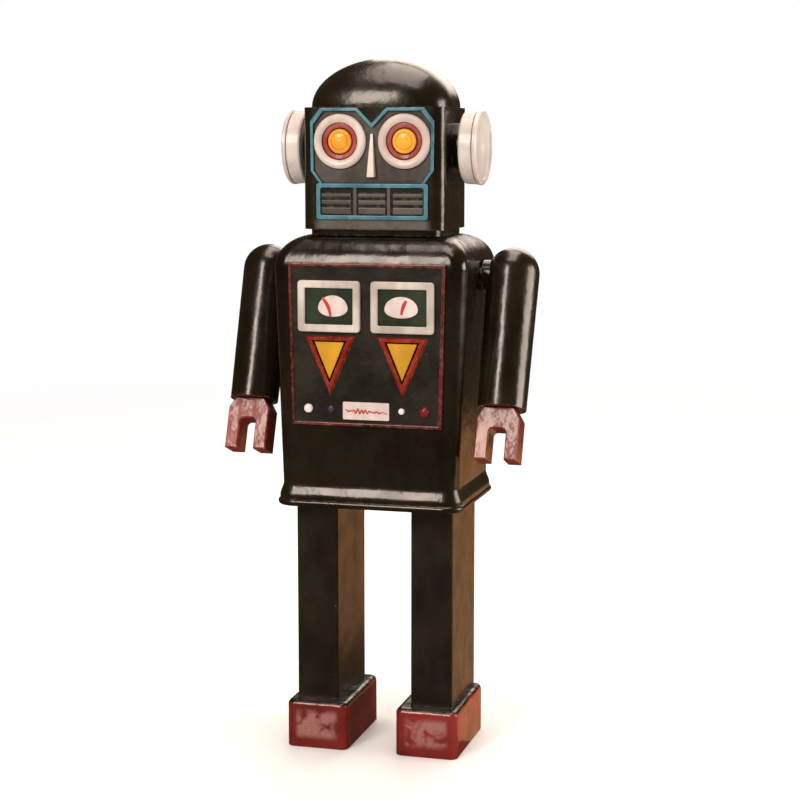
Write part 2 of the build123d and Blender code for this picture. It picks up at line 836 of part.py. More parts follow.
def meshing_phase(teeth_a, phase_a, teeth_b, bearing):
    """The tooth angle that puts gear b in mesh with gear a, b lying at that bearing from a."""
    share = (bearing - phase_a) * teeth_a / 360
    return bearing + 180 - (360 / teeth_b) * (0.5 - share)


def beside(centre, distance, bearing):
    across, up = polar(distance, bearing)
    return centre[0] + across, centre[1] + up


crank_centre = (crank_y, crank_z)
second_centre = beside(crank_centre, pitch_radius(crank_teeth + pinion_teeth), second_bearing)
first_centre = beside(second_centre, pitch_radius(wheel_teeth + pinion_teeth), first_bearing)
motor_centre = beside(first_centre, pitch_radius(wheel_teeth + pinion_teeth), motor_bearing)


def gear(teeth, phase, centre, x0, x1, bore_r):
    wheel = along_x(Pos(*centre) * gear_outline(teeth, phase), x0, x1)
    return wheel - rod(bore_r, x0 - 1, x1 + 1, *centre)


def lightened(wheel, teeth, centre, x0, x1):
    """Six round holes through the web of a large gear."""
    hole_circle = pitch_radius(teeth) * 0.58
    hole_r = pitch_radius(teeth) * 0.17
    for spoke in range(6):
        hole_y, hole_z = beside(centre, hole_circle, 60 * spoke)
        wheel -= rod(hole_r, x0 - 1, x1 + 1, hole_y, hole_z)
    return wheel


def make_gears():
    """Motor pinion, first and second compound gears and the crank gear, all in mesh."""
    second_pinion_phase = meshing_phase(crank_teeth, 0, pinion_teeth, second_bearing)
    first_pinion_phase = meshing_phase(wheel_teeth, 0, pinion_teeth, first_bearing)
    motor_phase = meshing_phase(wheel_teeth, 0, pinion_teeth, motor_bearing)
    bore = gear_pin_r + running
    crank = lightened(gear(crank_teeth, 0, crank_centre, 1.0, 4.0, crank_shaft_r),
                      crank_teeth, crank_centre, 1.0, 4.0)
    second = lightened(gear(wheel_teeth, 0, second_centre, -3.4, -0.6, bore),
                       wheel_teeth, second_centre, -3.4, -0.6)
    second += gear(pinion_teeth, second_pinion_phase, second_centre, -0.6, 4.4, bore)
    first = lightened(gear(wheel_teeth, 0, first_centre, -9.0, -6.2, bore),
                      wheel_teeth, first_centre, -9.0, -6.2)
    first += gear(pinion_teeth, first_pinion_phase, first_centre, -6.2, -0.4, bore)
    pinion = gear(pinion_teeth, motor_phase, motor_centre, -9.2, -6.0, 0.75)
    pinion += rod(0.75, -plate_x - 0.2, -5.5, *motor_centre)
    return pinion, first, second, crank


def make_crank_shaft():
    """A crank disc at each end; its pins stand on opposite sides, so the legs step in turn."""
    end = crank_disc_x + crank_disc_thick
    shaft = rod(crank_shaft_r, -end, end, crank_y, crank_z)
    for side in (-1, 1):
        disc = rod(crank_disc_r, crank_disc_x, end, crank_y, crank_z)
        disc += rod(crank_pin_r, end - 0.5, end + 0.9, crank_y, crank_z + side * crank_throw)
        if side < 0:
            disc = mirror(disc, Plane.YZ)
        shaft += disc
    return shaft


def make_gearbox_plates():
    plates = Part()
    for side in (-1, 1):
        x0 = min(side * plate_x, side * (plate_x + plate_thick))
        x1 = x0 + plate_thick
        plate = along_x(Pos(plate_y, plate_z) * RectangleRounded(plate_d, plate_h, 2.5), x0, x1)
        plate -= rod(crank_shaft_r + running, x0 - 1, x1 + 1, *crank_centre)
        plate -= rod(hip_axle_r, x0 - 1, x1 + 1, hip_y, hip_z)
        for centre in (first_centre, second_centre):
            plate -= rod(gear_pin_r, x0 - 1, x1 + 1, *centre)
        if side < 0:
            plate -= rod(3.0, x0 - 1, x1 + 1, *motor_centre)
        tab_x = min(side * 8, side * plate_x)
        seat = base_z + base_thick
        tab = block(tab_x, tab_x + plate_x - 8, -18, 6, seat, seat + plate_thick)
        plates += plate + tab
    return plates


def make_gearbox_pins():
    """The two gear pins and four spacer pillars that hold the plates apart."""
    reach = plate_x + plate_thick + 0.6
    pins = rod(gear_pin_r, -reach, reach, *first_centre) + rod(gear_pin_r, -reach, reach, *second_centre)
    for y, z in ((-16, 112), (6, 124), (-16, 137), (5, 179)):
        pins += rod(1.8, -plate_x, plate_x, y, z)
    return pins


def make_motor():
    """A small can motor with two flats, on the outside of the left plate."""
    far = -plate_x - plate_thick - motor_length
    near = -plate_x - plate_thick
    can = Circle(motor_r) & Rectangle(motor_flat, 3 * motor_r)
    body = along_x(Pos(*motor_centre) * can, far, near)
    body += rod(2.9, near, near + 0.7, *motor_centre)
    cap = Circle(motor_r - 1.2) & Rectangle(motor_flat - 1.5, 3 * motor_r)
    body += along_x(Pos(*motor_centre) * cap, far - 1.2, far)
    for offset in (-4.5, 4.5):
        y, z = motor_centre
        body += block(far - 4.0, far - 1.2, y - 1.2, y + 1.2, z + offset - 0.25, z + offset + 0.25)
    return body


def make_hip_axle():
    """A collar outside each leg keeps it on the axle."""
    end = 34.2
    collar = rod(3.4, end - 1.1, end, hip_y, hip_z)
    return rod(hip_axle_r, -end, end, hip_y, hip_z) + both_sides(collar)


# ---- batteries, door and switch -------------------------------------------------------
def make_battery_holder():
    half_w = cell_x + cell_r + tray_wall + 0.3
    low = cell_z - contact_room
    high = cell_z + cell_length + contact_room
    floor_y = tray_y + tray_wall + 0.1
    tray = block(-half_w, half_w, tray_y, cell_y + 5, low, high)
    tray -= block(-half_w + tray_wall, half_w - tray_wall, floor_y, cell_y + 6,
                  low + tray_wall, high - tray_wall)
    rib = block(-0.5, 0.5, floor_y, cell_y - 4.5, low + tray_wall, high - tray_wall)
    return tray + rib


def make_battery_cells():
    """One cell stands on its negative end and the other on its positive end."""
    cells = Part()
    for x, way in ((-cell_x, 1), (cell_x, -1)):
        can = fillet(Cylinder(cell_r, cell_length - 1).edges(), 0.5)
        nub = Pos(0, 0, way * (cell_length - 1) / 2) * Cylinder(2.7, 1.0)
        cells += Pos(x, cell_y, cell_z + cell_length / 2) * (can + nub)
    return cells


def make_battery_contacts():
    """A flat spring leaf at each end of both cells, in two joined pairs."""
    low = cell_z - contact_room + tray_wall
    high = cell_z + cell_length + contact_room - tray_wall
    half_w = cell_x + 4.0
    leaf = 0.3
    contacts = Part()
    for z0, way in ((low, 1), (high - leaf, -1)):
        strip = block(-half_w, half_w, cell_y - 4, cell_y + 3, z0, z0 + leaf)
        for x in (-cell_x, cell_x):
            bump = Pos(x, cell_y, z0 + leaf / 2 + way * leaf) * Cylinder(2.2, 2 * leaf)
            strip += bump
        contacts += strip
    return contacts


def make_battery_door():
    """Hinged at the bottom, with four ribs near the top to pull it open by."""
    y0 = torso_half_d + 0.15
    y1 = y0 + door_thick
    door = block(-door_half_w, door_half_w, y0, y1, door_bottom_z + 0.6, door_top_z)
    door = fillet(door.edges().filter_by(Axis.Y), 1.5)
    for step in range(4):
        z = door_top_z - 10.7 + 2.2 * step
        door += block(-7, 7, y1 - 0.2, y1 + 0.5, z, z + 1.0)
    for x0, x1 in ((-12, -5), (5, 12)):
        door += rod(door_barrel_r, x0, x1, door_hinge_y, door_hinge_z)
        door += block(x0, x1, y0 + 0.45, y1, door_hinge_z, door_bottom_z + 2)
        door -= rod(door_pin_r + running, x0 - 0.1, x1 + 0.1, door_hinge_y, door_hinge_z)
    return door


def make_door_pin():
    return rod(door_pin_r, -hinge_half_w, hinge_half_w, door_hinge_y, door_hinge_z)


def make_power_switch():
    """A ribbed slider; it rests at the off end of its slot."""
    start = -switch_travel / 2
    seat = torso_half_d + 0.15
    knob = block(start - knob_half, start + knob_half, seat, torso_half_d + 2.0,
                 switch_z - knob_half, switch_z + knob_half)
    knob = chamfer(knob.faces().sort_by(Axis.Y)[-1].edges(), 0.5)
    for step in range(3):
        x = start - 1.6 + 1.6 * step
        knob -= block(x - 0.25, x + 0.25, torso_half_d + 1.6, torso_half_d + 3,
                      switch_z - knob_half - 1, switch_z + knob_half + 1)
    stem = block(start - 1.2, start + 1.2, torso_half_d - 2.2, seat + 0.25, switch_z - 1.2, switch_z + 1.2)
    return knob + stem


def make_switch_body():
    rear = torso_half_d - sheet
    terminal_y = rear - 5.5
    body = block(-10, 10, terminal_y, rear, switch_z - 3.5, switch_z + 3.5)
    body -= block(-switch_slot_half_w, switch_slot_half_w, rear - 1.8, rear + 1,
                  switch_z - 1.8, switch_z + 1.8)
    for x in (-6, 0, 6):
        body += block(x - 0.6, x + 0.6, terminal_y - 3, terminal_y, switch_z - 0.3, switch_z + 0.3)
    return body


# ---- write every piece ----------------------------------------------------------------
os.makedirs("parts", exist_ok=True)

torso_shell, torso_back = make_torso()
motor_pinion, first_gear, second_gear, crank_gear = make_gears()

pieces = {
    "torso_shell": torso_shell,
    "torso_back": torso_back,
    "base_plate": make_base_plate(),
    "case_screws": make_case_screws(),
    "neck_collar": make_neck_collar(),
    "chest_panel": make_chest_panel(),
    "panel_frame": make_panel_frame(),
    "gauge_bezels": make_gauge_bezel(),
    "gauge_dials": make_gauge_dial(),
    "gauge_needles": make_gauge_needles(),
    "lamp_bezels": make_lamp_bezels(),
    "lamp_lenses": make_lamp_lenses(),
    "label_plate": make_label_plate(),
    "panel_jewels": make_panel_jewels(),
    "white_button": make_button(white_button_r, -button_x),
    "red_button": make_button(red_button_r, button_x),
    "control_board": make_control_board(),
    "head_shell": make_head_shell(),
    "head_dome": make_head_dome(),
    "face_plate": make_face_plate(),
    "mask_trim": make_mask_trim(),
    "mouth_frame": make_mouth_frame(),
    "mouth_grille": make_mouth_grille(),
    "eye_rings": make_eye_rings(),
    "eye_irises": make_eye_irises(),
    "eye_lenses": make_eye_lenses(),
    "eye_bulbs": make_bulbs(),
    "bulb_bracket": make_bulb_bracket(),
    "nose": make_nose(),
    "ear_drums": make_ear_drums(),
    "gearbox_plates": make_gearbox_plates(),
    "gearbox_pins": make_gearbox_pins(),
    "motor": make_motor(),
    "motor_pinion": motor_pinion,
    "first_gear": first_gear,
    "second_gear": second_gear,
    "crank_gear": crank_gear,
    "crank_shaft": make_crank_shaft(),
    "hip_axle": make_hip_axle(),
    "battery_holder": make_battery_holder(),
    "battery_cells": make_battery_cells(),
    "battery_contacts": make_battery_contacts(),
    "battery_door": make_battery_door(),
    "door_pin": make_door_pin(),
    "power_switch": make_power_switch(),
    "switch_body": make_switch_body(),
}
for word, side in (("right", -1), ("left", 1)):
    pieces[word + "_arm"] = make_arm(side)
    pieces[word + "_shoulder_pin"] = make_shoulder_pin(side)
    pieces[word + "_hand"] = make_hand(side)
    pieces[word + "_leg"] = make_leg(side)
    pieces[word + "_lever"] = make_lever(side)
    pieces[word + "_foot"] = make_foot(side)
    pieces[word + "_roller"] = make_roller(side)

for name, shape in pieces.items():
    save(name, shape)
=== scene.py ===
import json
import math
import bmesh
import bpy
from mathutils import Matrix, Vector


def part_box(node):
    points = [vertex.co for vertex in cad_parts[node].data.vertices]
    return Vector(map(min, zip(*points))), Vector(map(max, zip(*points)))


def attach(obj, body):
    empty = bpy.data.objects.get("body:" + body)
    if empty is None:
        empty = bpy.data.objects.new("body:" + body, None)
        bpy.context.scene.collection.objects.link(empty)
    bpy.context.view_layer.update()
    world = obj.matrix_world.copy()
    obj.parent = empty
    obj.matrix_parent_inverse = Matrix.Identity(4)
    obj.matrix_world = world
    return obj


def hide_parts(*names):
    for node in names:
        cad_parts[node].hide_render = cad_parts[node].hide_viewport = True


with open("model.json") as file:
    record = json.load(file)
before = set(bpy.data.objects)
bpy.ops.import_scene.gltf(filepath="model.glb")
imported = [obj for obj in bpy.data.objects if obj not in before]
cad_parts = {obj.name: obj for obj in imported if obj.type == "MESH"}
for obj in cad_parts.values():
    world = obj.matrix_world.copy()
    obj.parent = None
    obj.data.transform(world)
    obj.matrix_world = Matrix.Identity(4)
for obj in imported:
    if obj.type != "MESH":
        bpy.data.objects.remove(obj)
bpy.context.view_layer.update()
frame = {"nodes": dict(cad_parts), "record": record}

nodes = frame["nodes"]
MM = 0.001

# Paint colours that several materials share, linear RGB
BLACK = (0.006, 0.0036, 0.0009)
BLACK_BRIGHT = (0.0135, 0.009, 0.0032)
BROWN_WEAR = (0.19, 0.085, 0.05)
GAP_SHADE_BLACK = (0.004, 0.003, 0.002)      # painted shade in the gaps between the grille's bars
RUN_BLACK = (0.008, 0.006, 0.004)       # leg paint that has run over the top of each foot

# How enamel ages, how far its painted crevice shade reaches, and how finely it is uneven
WORN_EDGE = 0.9 * MM
SHADE_REACH = 1.2 * MM
GRAIN_DEPTH = 0.02 * MM
COAT_ROUGHNESS = 0.14
TONE_SOFTNESS = 0.22

# Brush-painted marks
PAINT_DEPTH = 0.1 * MM
PAINT_CROWN = 0.06 * MM
STROKE_DEPTH = 0.18 * MM
STROKE_SINK = 0.08 * MM                 # how far a stroke's foot starts in front of the dial
SCALE_POINTS = 40
SCALE_HALF_H = 5.2 * MM
SCALE_DROP = 0.9 * MM                   # the scale's widest line lies this far below the dial's middle
SCALE_DROOP = 0.62                      # its lower half is this share as tall as its upper half
STROKE_STEPS = 12
TRACE_POINTS = 34
TRACE_R = 0.22 * MM

# Stage, light and camera, in metres and watts
FLOOR_R = 1.6
FLOOR_SIDES = 96
FADE_START = 0.3
FADE_END = 1.3
CARD_X = (0.03, 0.7)
CARD_Y = (0.0, 0.75)
CARD_Z = 0.5 * MM
WARM_WHITE = (1.0, 0.84, 0.72)
LIGHTS = {
    "FrontLeft": {"place": (-0.30, -0.92, 0.70), "target": (0, 0, 0.15), "size": (0.22, 0.5), "power": 5.1},
    "Top": {"place": (0.0, 0.12, 1.1), "target": (0.0, 0.119, 0.2), "size": (0.5, 1.15), "power": 9},
    "Back": {"place": (0.0, 0.95, 0.75), "target": (0, 0, 0.2), "size": (0.7, 0.6), "power": 4.5},
    "Right": {"place": (1.1, 0.22, 0.38), "target": (0, 0, 0.2), "size": (0.65, 0.5), "power": 8},
}
CAMERA_PLACE = Vector((0.20956, -0.72553, 0.24565))
CAMERA_TARGET = Vector((0.00569, 0, 0.14233))
CAMERA_LENS = 83.7


# ---- node helpers ---------------------------------------------------------------------
class Shader:
    """A Principled material and short calls that add procedural nodes to it."""

    def __init__(self, name):
        self.material = bpy.data.materials.new(name)
        self.material.use_nodes = True
        self.tree = self.material.node_tree
        self.surface = self.tree.nodes["Principled BSDF"]
        self.place = self.add("ShaderNodeTexCoord").outputs["Object"]

    def add(self, kind, **settings):
        node = self.tree.nodes.new(kind)
        for key, value in settings.items():
            setattr(node, key, value)
        return node

    def link(self, source, target):
        self.tree.links.new(source, target)

    def noise(self, scale, detail=2.0, stretch=(1, 1, 1), offset=0.0, distortion=0.0):
        """Smooth random values from 0 to 1; scale is in features per metre."""
        mapping = self.add("ShaderNodeMapping")
        mapping.inputs["Scale"].default_value = stretch
        mapping.inputs["Location"].default_value = (offset, offset * 0.7, offset * 1.3)
        self.link(self.place, mapping.inputs["Vector"])
        texture = self.add("ShaderNodeTexNoise")
        texture.inputs["Scale"].default_value = scale
        texture.inputs["Detail"].default_value = detail
        texture.inputs["Distortion"].default_value = distortion
        self.link(mapping.outputs["Vector"], texture.inputs["Vector"])
        return texture.outputs["Fac"]

    def cells(self, scale, offset=0.0):
        """Distance to the nearest of many scattered points, for pits."""
        mapping = self.add("ShaderNodeMapping")
        mapping.inputs["Location"].default_value = (offset, offset, offset)
        self.link(self.place, mapping.inputs["Vector"])
        texture = self.add("ShaderNodeTexVoronoi")
        texture.inputs["Scale"].default_value = scale
        self.link(mapping.outputs["Vector"], texture.inputs["Vector"])
        return texture.outputs["Distance"]

    def spread(self, value, low, high, to_low=0.0, to_high=1.0):
        """Values between low and high become values between to_low and to_high."""
        node = self.add("ShaderNodeMapRange")
        node.interpolation_type = "SMOOTHSTEP"
        node.inputs["From Min"].default_value = low
        node.inputs["From Max"].default_value = high
        node.inputs["To Min"].default_value = to_low
        node.inputs["To Max"].default_value = to_high
        self.link(value, node.inputs["Value"])
        return node.outputs["Result"]

    def math(self, operation, first, second):
        node = self.add("ShaderNodeMath", operation=operation)
        for socket, value in zip(node.inputs, (first, second)):
            if isinstance(value, (int, float)):
                socket.default_value = value
            else:
                self.link(value, socket)
        return node.outputs["Value"]

    def mix(self, share, first, second):
        """A colour between first and second; either may be a fixed colour or another output."""
        node = self.add("ShaderNodeMix", data_type="RGBA")
        self.link(share, node.inputs["Factor"])
        for socket, value in ((node.inputs[6], first), (node.inputs[7], second)):
            if isinstance(value, tuple):
                socket.default_value = (*value, 1.0)
            else:
                self.link(value, socket)
        return node.outputs[2]

    def edges(self, radius, low=0.004, high=0.12):
        """About 1 along sharp edges and 0 on flat surfaces."""
        bevel = self.add("ShaderNodeBevel", samples=4)
        bevel.inputs["Radius"].default_value = radius
        geometry = self.add("ShaderNodeNewGeometry")
        dot = self.add("ShaderNodeVectorMath", operation="DOT_PRODUCT")
        self.link(bevel.outputs["Normal"], dot.inputs[0])
        self.link(geometry.outputs["Normal"], dot.inputs[1])
        turned = self.math("SUBTRACT", 1.0, dot.outputs["Value"])
        return self.spread(turned, low, high)

    def bump(self, height, distance, below=None):
        node = self.add("ShaderNodeBump")
        node.inputs["Strength"].default_value = 1.0
        node.inputs["Distance"].default_value = distance
        self.link(height, node.inputs["Height"])
        if below is not None:
            self.link(below, node.inputs["Normal"])
        return node.outputs["Normal"]

    def axes(self):
        """The X, Y and Z of a point on the object."""
        split = self.add("ShaderNodeSeparateXYZ")
        self.link(self.place, split.inputs["Vector"])
        return split.outputs

    def finish(self, colour, roughness, normal):
        self.link(colour, self.surface.inputs["Base Color"])
        self.link(roughness, self.surface.inputs["Roughness"])
        if normal is not None:
            self.link(normal, self.surface.inputs["Normal"])

    def set(self, **values):
        for key, value in values.items():
            self.surface.inputs[key.replace("_", " ")].default_value = value


def enamel(name, deep, bright, worn, rough=(0.2, 0.3), coat=0.3, wear=0.75, waves=0.00016,
           pits=0.0001, streaks=0.45, seed=0.0, overlay=None, crevice_shade=0.0):
    """Brushed-on gloss enamel: uneven tone, soft waves, fine grain, a few pits, thin edges, and painted
    shade darkening its crevices.
    """
    shader = Shader(name)
    tone = shader.math("MULTIPLY_ADD", shader.noise(260, 3, stretch=(1, 1, 0.3), offset=seed + 3), streaks)
    shader.link(shader.noise(38, 3, offset=seed), tone.node.inputs[2])
    middle = 0.5 + streaks / 2
    colour = shader.mix(shader.spread(tone, middle - TONE_SOFTNESS, middle + TONE_SOFTNESS), deep, bright)
    if overlay:
        colour = overlay(shader, colour)
    edge = shader.edges(WORN_EDGE)
    broken = shader.spread(shader.noise(420, 4, offset=seed + 5), 0.42, 0.66)
    colour = shader.mix(shader.math("MULTIPLY", shader.math("MULTIPLY", edge, broken), wear), colour, worn)
    # Painted shade: crevices and recesses are darkened toward black by ambient occlusion, which also stands
    # in for the dark outline paint around the trims.
    if crevice_shade:
        occlusion = shader.add("ShaderNodeAmbientOcclusion", samples=6)
        occlusion.inputs["Distance"].default_value = SHADE_REACH
        shade_share = shader.spread(occlusion.outputs["AO"], 0.45, 0.85, crevice_shade, 0.0)
        colour = shader.mix(shade_share, colour, BLACK)
    specks = shader.spread(shader.cells(170, seed), 0.05, 0.11, 1.0, 0.0)
    chosen = shader.spread(shader.noise(55, 1, offset=seed + 9), 0.55, 0.62)
    pit = shader.math("MULTIPLY", specks, chosen)
    gloss = shader.spread(shader.noise(90, 4, offset=seed + 1), 0.3, 0.7, rough[0], rough[1])
    shader.set(Coat_Weight=coat, Coat_Roughness=COAT_ROUGHNESS, IOR=1.5)
    broad = shader.bump(shader.noise(55, 1, offset=seed + 2), waves * 2.5)
    uneven = shader.bump(shader.noise(210, 2, offset=seed + 4), waves, below=broad)
    grain = shader.bump(shader.noise(1300, 2, offset=seed + 6), GRAIN_DEPTH, below=uneven)
    dented = shader.bump(shader.math("SUBTRACT", 1.0, pit), pits, below=grain)
    shader.finish(colour, gloss, dented)
    shader.link(uneven, shader.surface.inputs["Coat Normal"])
    return shader.material


def moulded(name, colour, rough=0.45, grain=900):
    """Moulded plastic: even colour with a fine grain and slightly scuffed gloss."""
    shader = Shader(name)
    light = tuple(min(1.0, c * 1.25 + 0.01) for c in colour)
    shader.finish(shader.mix(shader.spread(shader.noise(70, 3), 0.35, 0.7), colour, light),
                  shader.spread(shader.noise(160, 3), 0.3, 0.7, rough - 0.08, rough + 0.1),
                  shader.bump(shader.noise(grain, 2), 0.03 * MM))
    return shader.material


def metal(name, colour, rough=0.3):
    """Plated steel or brass with fine lines along the rolling direction."""
    shader = Shader(name)
    lines = shader.noise(900, 2, stretch=(1, 1, 14))
    dull = tuple(c * 0.7 for c in colour)
    shader.finish(shader.mix(shader.spread(shader.noise(120, 3), 0.35, 0.7), colour, dull),
                  shader.spread(lines, 0.3, 0.7, rough - 0.08, rough + 0.14),
                  shader.bump(lines, 0.02 * MM))
    shader.set(Metallic=1.0)
    return shader.material


# ---- materials ------------------------------------------------------------------------
foot_low, foot_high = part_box("left_foot")
lip_low, lip_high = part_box("mouth_frame")
grille_low, grille_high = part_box("mouth_grille")
strip_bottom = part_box("head_shell")[0].z


def between(shader, value, low, high, soft):
    """About 1 while the value lies between low and high, fading over the soft distance."""
    rising = shader.spread(value, low - soft, low + soft)
    falling = shader.spread(value, high - soft, high + soft, 1.0, 0.0)
    return shader.math("MULTIPLY", rising, falling)


def facing_front(shader):
    """About 1 on surfaces that face the robot's front."""
    split = shader.add("ShaderNodeSeparateXYZ")
    shader.link(shader.add("ShaderNodeTexCoord").outputs["Normal"], split.inputs["Vector"])
    return shader.spread(split.outputs["Y"], -0.97, -0.8, 1.0, 0.0)


def foot_paint(shader, red):
    """Feet: a paler pink patch painted on each toe as a highlight, and the leg's black paint run over the
    top.
    """
    place = shader.axes()
    middle = (foot_low.x + foot_high.x) / 2
    half = (foot_high.x - foot_low.x) / 2
    across = shader.math("SUBTRACT", shader.math("ABSOLUTE", place["X"], 0), middle)
    ragged = shader.noise(150, 4, offset=4.0, distortion=0.6)
    # Painted highlight: a pale pink patch on the front of each toe, standing in for a reflection.
    highlight_patch = between(shader, across, -half * 0.66, half * 0.66, 1.2 * MM)
    highlight_patch = shader.math("MULTIPLY", highlight_patch, between(shader, place["Z"], 4.5 * MM, 15.5 * MM, 1.5 * MM))
    highlight_patch = shader.math("MULTIPLY", highlight_patch, shader.spread(ragged, 0.33, 0.52))
    highlight_patch = shader.math("MULTIPLY", highlight_patch, facing_front(shader))
    tone = shader.noise(700, 4, stretch=(1, 1, 2))
    highlight_pink = shader.mix(tone, (0.24, 0.075, 0.065), (0.42, 0.19, 0.17))
    painted = shader.mix(highlight_patch, red, highlight_pink)
    edge = shader.math("MULTIPLY_ADD", shader.noise(160, 3, offset=7.0), 3 * MM)
    shader.link(place["Z"], edge.node.inputs[2])
    top = shader.spread(edge, foot_high.z + 0.2 * MM, foot_high.z + 1 * MM)
    return shader.mix(top, painted, RUN_BLACK)


def lip_sheen(shader, black):
    """Head: the strip under the mouth is painted a lighter satin grey, a painted sheen standing in for the
    reflection there.
    """
    place = shader.axes()
    strip = between(shader, place["Z"], strip_bottom + 0.2 * MM, lip_low.z - 0.2 * MM, 0.6 * MM)
    strip = shader.math("MULTIPLY", strip, between(shader, place["X"], lip_low.x, lip_high.x, 2 * MM))
    strip = shader.math("MULTIPLY", strip, facing_front(shader))
    sheen_grey = shader.mix(shader.noise(500, 4), (0.07, 0.062, 0.052), (0.16, 0.145, 0.125))
    return shader.mix(strip, black, sheen_grey)


looks = {
    "black_enamel": enamel("BlackEnamel", BLACK, BLACK_BRIGHT, BROWN_WEAR, seed=1.0),
    "head_enamel": enamel("HeadEnamel", BLACK, BLACK_BRIGHT, BROWN_WEAR, rough=(0.22, 0.32), seed=2.3,
                          overlay=lip_sheen),
    "neck_dark": enamel("NeckEnamel", BLACK, BLACK_BRIGHT, BROWN_WEAR, seed=2.9),
    "arm_enamel": enamel("ArmEnamel", BLACK, BLACK_BRIGHT, BROWN_WEAR, waves=0.00015, seed=3.1),
    "leg_enamel": enamel("LegEnamel", (0.0095, 0.006, 0.0018), (0.02, 0.0135, 0.006), BROWN_WEAR,
                         rough=(0.28, 0.42), coat=0.3, pits=0.0003, seed=4.7),
    "dark_satin": enamel("DarkSatin", (0.010, 0.0075, 0.0042), (0.024, 0.0185, 0.0125), (0.12, 0.07, 0.05),
                         rough=(0.32, 0.44), coat=0.15, wear=0.6, waves=0.0003, streaks=0.3, seed=5.2),
    "deep_red": enamel("DeepRed", (0.13, 0.006, 0.004), (0.24, 0.02, 0.015), (0.6, 0.3, 0.26),
                       rough=(0.34, 0.42), coat=0.7, wear=0.6, waves=0.0002, streaks=0.1, crevice_shade=0.8,
                       seed=6.4),
    "foot_enamel": enamel("FootRed", (0.11, 0.005, 0.003), (0.24, 0.016, 0.011), (0.55, 0.22, 0.19),
                          rough=(0.24, 0.36), coat=0.6, wear=0.7, waves=0.0003, streaks=0.1, seed=6.9,
                          overlay=foot_paint),
    "silver_enamel": enamel("SilverEnamel", (0.5, 0.44, 0.4), (0.72, 0.665, 0.62), (0.38, 0.27, 0.21),
                            rough=(0.3, 0.44), wear=0.4, crevice_shade=0.5, seed=7.5),
    "off_white": enamel("OffWhite", (0.56, 0.45, 0.4), (0.78, 0.68, 0.62), (0.42, 0.27, 0.2),
                        rough=(0.3, 0.45), wear=0.3, crevice_shade=0.8, seed=8.1),
    "dusty_red": enamel("DustyRed", (0.3, 0.03, 0.03), (0.5, 0.11, 0.1), (0.7, 0.4, 0.36),
                        rough=(0.35, 0.5), wear=0.4, waves=0.0002, crevice_shade=0.8, seed=9.6),
    "amber_lens": enamel("AmberLens", (0.76, 0.2, 0.006), (0.92, 0.42, 0.03), (0.95, 0.6, 0.25),
                         rough=(0.25, 0.4), coat=0.4, wear=0.3, waves=0.0002, crevice_shade=0.8, seed=10.2),
    "blue_trim": enamel("BlueTrim", (0.022, 0.11, 0.165), (0.07, 0.24, 0.31), (0.3, 0.45, 0.5),
                        rough=(0.3, 0.45), coat=0.3, wear=0.5, waves=0.0002, crevice_shade=0.8, seed=11.8),
    "red_trim": enamel("RedTrim", (0.035, 0.007, 0.004), (0.15, 0.016, 0.011), (0.45, 0.15, 0.12),
                       rough=(0.24, 0.4), coat=0.5, wear=0.9, waves=0.0003, streaks=0.15, crevice_shade=0.8,
                       seed=12.3),
    "gauge_white": enamel("GaugeWhite", (0.4, 0.34, 0.29), (0.66, 0.6, 0.54), (0.34, 0.25, 0.18),
                          rough=(0.32, 0.5), wear=0.3, waves=0.0002, crevice_shade=0.8, seed=13.9),
    "gauge_green": enamel("GaugeGreen", (0.010, 0.021, 0.008), (0.026, 0.048, 0.02), (0.05, 0.1, 0.06),
                          rough=(0.35, 0.5), wear=0.2, crevice_shade=0.8, seed=14.4),
    "needle_red": enamel("NeedleRed", (0.4, 0.012, 0.02), (0.6, 0.03, 0.04), (0.7, 0.2, 0.2),
                         rough=(0.3, 0.45), coat=0.3, wear=0.2, seed=15.5),
    "lamp_red": enamel("LampRed", (0.16, 0.009, 0.004), (0.36, 0.028, 0.01), (0.8, 0.3, 0.16),
                       rough=(0.18, 0.28), coat=0.4, wear=0.3, waves=0.0002, streaks=0.1, crevice_shade=0.8,
                       seed=16.6),
    "lamp_yellow": enamel("LampYellow", (0.36, 0.2, 0.001), (0.66, 0.32, 0.003), (0.5, 0.36, 0.02),
                          rough=(0.34, 0.46), coat=0.0, wear=0.2, waves=0.0003, streaks=0.3, crevice_shade=0.9,
                          seed=17.7),
    "label_white": enamel("LabelWhite", (0.58, 0.46, 0.43), (0.8, 0.7, 0.66), (0.45, 0.32, 0.26),
                          rough=(0.4, 0.55), coat=0.1, wear=0.3, crevice_shade=0.8, seed=18.2),
    "white_knob": enamel("WhiteKnob", (0.7, 0.65, 0.6), (0.85, 0.82, 0.78), (0.5, 0.4, 0.35),
                         rough=(0.25, 0.4), coat=0.4, wear=0.2, crevice_shade=0.8, seed=19.1),
    "red_knob": enamel("RedKnob", (0.1, 0.006, 0.006), (0.2, 0.014, 0.014), (0.5, 0.15, 0.12),
                       rough=(0.2, 0.35), coat=0.5, wear=0.3, crevice_shade=0.8, seed=20.3),
    "steel": metal("ZincSteel", (0.6, 0.6, 0.62)),
    "motor_steel": metal("MotorCan", (0.5, 0.5, 0.52), rough=0.25),
    "spring_brass": metal("SpringBrass", (0.78, 0.58, 0.28)),
    "nylon": moulded("Nylon", (0.72, 0.69, 0.6), rough=0.5),
    "black_plastic": moulded("BlackPlastic", (0.018, 0.018, 0.018)),
    "board_green": moulded("BoardGreen", (0.02, 0.13, 0.05), rough=0.3),
    "cell_jacket": moulded("CellJacket", (0.05, 0.06, 0.09), rough=0.25),
    "rubber": moulded("TreadRubber", (0.02, 0.02, 0.02), rough=0.75, grain=1400),
}


